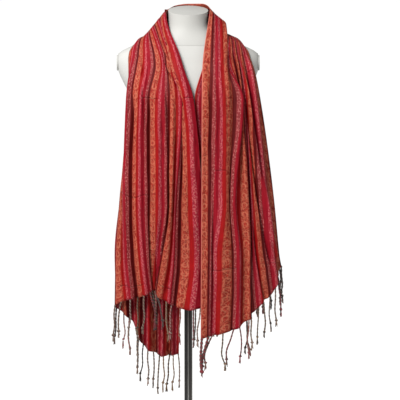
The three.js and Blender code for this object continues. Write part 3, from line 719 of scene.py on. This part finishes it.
def strand_splines(yarns, top, lean, length, draw, stout):
    """Two plies twisted round each other, a knot near the end, and loose fibres below it."""
    count = int(length / YARN_STEP)
    sway = [draw.uniform(-9, 9) for _ in range(3)]
    phase = draw.uniform(0, math.tau)
    knot_at = length - draw.uniform(14, 24)
    middles = []
    for i in range(count + 1):
        down = length * i / count
        t = down / length
        drawn = lean * (1 - (1 - t) ** 2)
        x = sway[0] * math.sin(math.pi * t) * 0.5 + sway[1] * math.sin(9 * t) * t * 0.5 + sway[2] * t * t
        y = -0.5 * abs(sway[1]) * math.sin(math.pi * t)
        middles.append((down, Vector((top[0] + x + drawn, top[1] + y, top[2] - down))))
    shades = CORNER_DYES if stout > STOUT_CORNER else draw.sample(range(len(dyes)), 2)
    for shade, start in zip(shades, (0, math.pi)):
        points, radii = [], []
        for down, middle in middles:
            if down > knot_at + KNOT_REACH:
                break
            turn = phase + start + math.tau * down / YARN_PITCH
            near = math.exp(-((down - knot_at) / KNOT_REACH) ** 2)
            arm = (1.5 + 1.3 * near) * stout
            points.append((middle + Vector((math.cos(turn), math.sin(turn), 0)) * arm) * MM)
            radii.append((1 + 1.2 * near) * stout)
        yarn_spline(yarns[shade], points, radii)
    knot = next(middle for down, middle in middles if down >= knot_at)
    for i in range(LOOSE_FIBRES):
        out = Vector((draw.uniform(-3, 3), draw.uniform(-2.5, 2.5), -draw.uniform(10, length - knot_at + 3)))
        bend = Vector((out.x * 0.3, out.y * 0.3, out.z * 0.5))
        places = [knot * MM, (knot + bend) * MM, (knot + out) * MM]
        yarn_spline(yarns[shades[i % 2]], places, [1.1, 1.0, 0.6])


def fringe_piece(name, s, hem_line, bunches, seed):
    draw = random.Random(seed)
    yarns = []
    for _ in dyes:
        curve = bpy.data.curves.new("yarn", "CURVE")
        curve.dimensions = "3D"
        curve.bevel_depth = YARN_RADIUS * MM
        curve.bevel_resolution = 1
        curve.use_fill_caps = True
        yarns.append(curve)

    def hem_at(place):
        return [np.interp(place, s, hem_line[:, axis]) for axis in range(3)]

    last = None
    for place in np.linspace(4, CLOTH_WIDTH - 4, FRINGE_COUNT):
        place += draw.uniform(-4, 4) * (8 < place < CLOTH_WIDTH - 8)
        top = hem_at(place)
        lean, stout = 0.0, draw.uniform(0.85, 1.05)
        for start, end, to, share, thick in bunches:
            if start <= place <= end:
                lean = share * (hem_at(to)[0] - top[0])
                stout *= thick
        if not lean and last is not None and draw.random() < PAIRED_SHARE:
            lean = 0.8 * (last - top[0])
            last = None
        else:
            last = top[0] + lean
        length = FRINGE_LENGTH * draw.uniform(0.9, 1.05)
        strand_splines(yarns, (top[0], top[1], top[2] + 1.0), lean, length, draw, stout)
    bm = bmesh.new()
    dye = bm.verts.layers.float.new("dye")
    for number, curve in enumerate(yarns):
        holder = bpy.data.objects.new("yarn", curve)
        mesh = bpy.data.meshes.new_from_object(holder)
        before = len(bm.verts)
        bm.from_mesh(mesh)
        bm.verts.ensure_lookup_table()
        for vert in bm.verts[before:]:
            vert[dye] = (number + 0.5) / len(dyes)
        bpy.data.objects.remove(holder)
        bpy.data.curves.remove(curve)
        bpy.data.meshes.remove(mesh)
    return mesh_from(name, bm)


# The form and its stand
TORSO_SIDES = 72
TORSO_STEP = 9
ARM_PLANE = 196
ARM_HEIGHT = 1322
PLATE_GAP = 0.3
PLATE_RADIUS = 22
PLATE_SHARE = 0.9
PLATE_THICK = 4


def bevel_edges(obj, name, width, angle):
    edge = obj.modifiers.new(name, "BEVEL")
    edge.width = width * MM
    edge.segments = 3
    edge.limit_method = "ANGLE"
    edge.angle_limit = math.radians(angle)
    return edge


def cut_off(bm, place, way):
    """Cuts the mesh off at a plane and closes the cut."""
    cut = bmesh.ops.bisect_plane(bm, geom=bm.verts[:] + bm.edges[:] + bm.faces[:], plane_co=place,
                                 plane_no=way, clear_outer=True)
    rim = [item for item in cut["geom_cut"] if isinstance(item, bmesh.types.BMEdge)]
    bmesh.ops.holes_fill(bm, edges=rim, sides=0)


def torso_piece():
    steps = np.arange(TORSO_BOTTOM + 4, NECK_TOP - 3, TORSO_STEP)
    heights = np.concatenate([[TORSO_BOTTOM], steps, [NECK_TOP]])
    half, front, back = form_sizes(heights)
    bm = bmesh.new()
    ring = bmesh.ops.create_circle(bm, cap_ends=False, segments=TORSO_SIDES, radius=1)["verts"]
    edges = bm.edges[:]
    rings = [ring]
    for _ in heights[1:]:
        made = bmesh.ops.extrude_edge_only(bm, edges=edges)["geom"]
        rings.append([item for item in made if isinstance(item, bmesh.types.BMVert)])
        edges = [item for item in made if isinstance(item, bmesh.types.BMEdge) and item.is_boundary]
    for i, verts in enumerate(rings):
        for vert in verts:
            deep = front[i] if vert.co.y < 0 else back[i]
            vert.co = Vector((vert.co.x * half[i], vert.co.y * deep, heights[i])) * MM
    bmesh.ops.holes_fill(bm, edges=[edge for edge in bm.edges if edge.is_boundary], sides=0)
    cut_off(bm, (0, 0, NECK_MIDDLE * MM), (0, -math.sin(NECK_SLANT), math.cos(NECK_SLANT)))
    for sign in (-1, 1):
        cut_off(bm, (sign * ARM_PLANE * MM, 0, 0), (sign, 0, 0))
    bmesh.ops.recalc_face_normals(bm, faces=bm.faces[:])
    obj = mesh_from("dress_form", bm)
    bevel_edges(obj, "rims", 2.5, 40)
    return obj


def arm_plate_piece(name, sign):
    bm = bmesh.new()
    bmesh.ops.create_circle(bm, cap_ends=True, segments=48, radius=PLATE_RADIUS * MM)
    oval = Matrix.Translation((-sign * 6 * MM, 1 * MM, 0.3 * MM)) @ Matrix.Diagonal((1, PLATE_SHARE, 1, 1))
    bmesh.ops.transform(bm, matrix=oval, verts=bm.verts[:])
    made = bmesh.ops.extrude_face_region(bm, geom=bm.faces[:])["geom"]
    top = [item for item in made if isinstance(item, bmesh.types.BMVert)]
    bmesh.ops.translate(bm, verts=top, vec=(0, 0, PLATE_THICK * MM))
    rim = [edge for edge in bm.edges if all(vert in top for vert in edge.verts)]
    bmesh.ops.bevel(bm, geom=rim, offset=2 * MM, segments=4, affect="EDGES", profile=0.5, material=-1)
    place = Matrix.Translation((sign * (ARM_PLANE + PLATE_GAP) * MM, 0, ARM_HEIGHT * MM))
    turn = Matrix.Rotation(sign * math.pi / 2, 4, "Y")
    bmesh.ops.transform(bm, matrix=place @ turn, verts=bm.verts[:])
    bmesh.ops.recalc_face_normals(bm, faces=bm.faces[:])
    return mesh_from(name, bm)


def bevelled_copy(name, node, width):
    """A node's own shape with softened edges."""
    bm = bmesh.new()
    bm.from_mesh(bpy.data.objects[node].data)
    bmesh.ops.remove_doubles(bm, verts=bm.verts[:], dist=1e-6)
    bmesh.ops.dissolve_limit(bm, angle_limit=math.radians(1), verts=bm.verts[:], edges=bm.edges[:])
    obj = mesh_from(name, bm, smooth=False)
    bevel_edges(obj, "edges", width, 30).harden_normals = True
    return obj


# Camera and light
PIXELS = 400
MM_PER_PIXEL = 2.77
VIEW_DISTANCE = 5.0
SENSOR_WIDTH = 36
VIEW_RISE = math.radians(7)
TARGET = Vector((33.2, -120, 954)) * MM


def camera():
    data = bpy.data.cameras.new("camera")
    data.sensor_width = SENSOR_WIDTH
    data.lens = SENSOR_WIDTH * VIEW_DISTANCE / (PIXELS * MM_PER_PIXEL * MM)
    obj = bpy.data.objects.new("camera", data)
    back = Vector((0, -math.cos(VIEW_RISE), math.sin(VIEW_RISE)))
    obj.location = TARGET + back * VIEW_DISTANCE
    obj.rotation_euler = back.to_track_quat("Z", "Y").to_euler()
    bpy.context.scene.collection.objects.link(obj)
    bpy.context.scene.camera = obj


def lamp(name, kind, place, aim, energy):
    data = bpy.data.lights.new(name, kind)
    data.energy = energy
    obj = bpy.data.objects.new(name, data)
    obj.location = place
    obj.rotation_euler = (Vector(place) - Vector(aim)).to_track_quat("Z", "Y").to_euler()
    bpy.context.scene.collection.objects.link(obj)
    return data


def studio():
    world = bpy.data.worlds.new("studio")
    world.use_nodes = True
    world.node_tree.nodes["Background"].inputs[0].default_value = (1, 1, 1, 1)
    world.node_tree.nodes["Background"].inputs[1].default_value = 0.3
    bpy.context.scene.world = world
    sun = lamp("high_key", "SUN", (-1.2, -1.7, 3.4), (0, 0, 1.0), 3.3)
    sun.angle = math.radians(16)
    near = lamp("softbox", "AREA", (-0.6, -1.0, 1.95), (0, -0.1, 1.3), 17)
    near.size = 0.7
    bm = bmesh.new()
    bmesh.ops.create_grid(bm, x_segments=1, y_segments=1, size=200)
    floor = mesh_from("floor", bm)
    material, _, shader = new_material("pale_paper")
    shader.inputs["Base Color"].default_value = linear("#FDFDFC")
    shader.inputs["Roughness"].default_value = 0.9
    floor.data.materials.append(material)
    bpy.context.scene.view_settings.view_transform = "Standard"


camera()
studio()
cloth_finish = cloth_material()
yarn_finish = yarn_material()
form_finish = form_material()
stand_finish = stand_material("powder_coated_steel", False)
pole_finish = stand_material("powder_coated_profile", True)

lines = np.linspace(0, CLOTH_WIDTH, CLOTH_COLUMNS + 1)
crossings = np.linspace(-LEFT_HEM, RIGHT_HEM, CLOTH_ROWS + 1)
surface = cloth_points(lines, crossings)
cloth = cloth_piece(lines, crossings, surface)
finish_piece(cloth, cloth_finish, "cloth", "scarf_back", "scarf_left_front", "scarf_right_front")
fringe_left = fringe_piece("fringe_left_yarns", lines, surface[:, 0], left_bunches, 11)
finish_piece(fringe_left, yarn_finish, "fringe", "fringe_left")
fringe_right = fringe_piece("fringe_right_yarns", lines, surface[:, -1], right_bunches, 23)
finish_piece(fringe_right, yarn_finish, "fringe", "fringe_right")
torso = torso_piece()
finish_piece(torso, form_finish, "form", "form_torso")
for side_name, side_sign in (("left", -1), ("right", 1)):
    plate = arm_plate_piece(f"arm_plate_{side_name}", side_sign)
    finish_piece(plate, form_finish, "form", f"form_arm_plate_{side_name}")
finish_piece(bevelled_copy("pole", "stand_pole", 0.8), pole_finish, "stand", "stand_pole")
finish_piece(bevelled_copy("base_plate", "stand_base", 1.5), stand_finish, "stand", "stand_base")
finish_piece(bevelled_copy("flange", "form_flange", 1.2), stand_finish, "stand", "form_flange")
